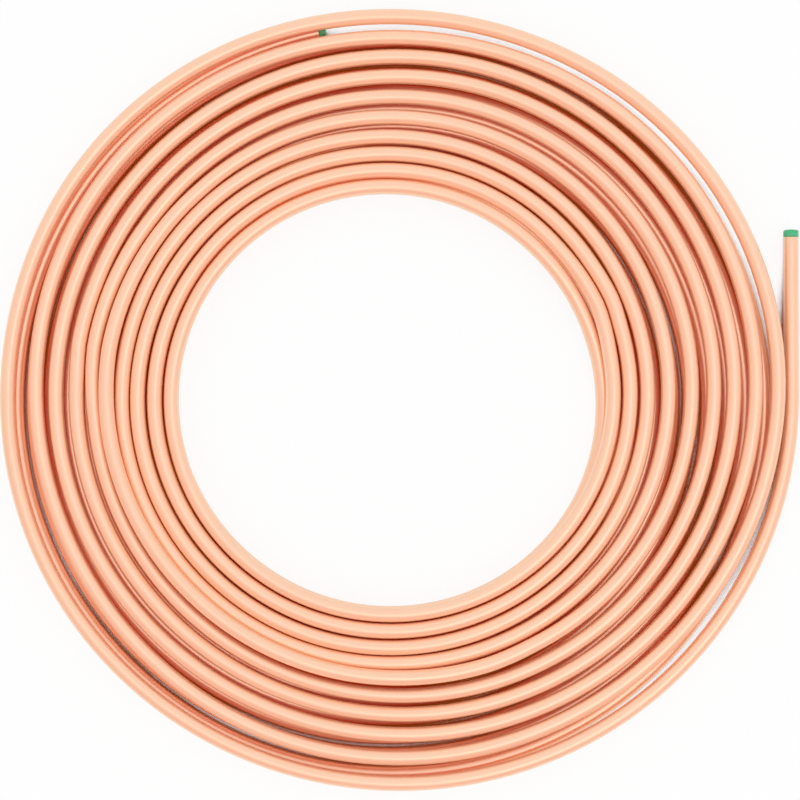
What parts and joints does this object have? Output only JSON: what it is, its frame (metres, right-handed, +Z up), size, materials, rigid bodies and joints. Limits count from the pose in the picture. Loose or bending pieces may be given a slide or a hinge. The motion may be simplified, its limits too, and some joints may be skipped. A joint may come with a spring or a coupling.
{
  "type": "copper tube coil",
  "caption": "Flat two-layer coil of soft copper tube lying loose, with a straight tail and a plastic plug closing each end.",
  "frame": {"origin": "on the floor, under the middle of the coil's outline", "axes": "+Z up, along the eye of the coil as it lies flat; +Y along the straight tail, towards its plug"},
  "size_m": [0.3352, 0.3268, 0.0184],
  "materials": {
    "drawn_copper": "bright drawn copper, satin",
    "green_plastic": "moulded polyethylene, slightly glossy"
  },
  "bodies": {
    "root": {"copper_tube": "drawn_copper", "tail_end_plug": "green_plastic", "tucked_end_plug": "green_plastic"}
  },
  "joints": []
}
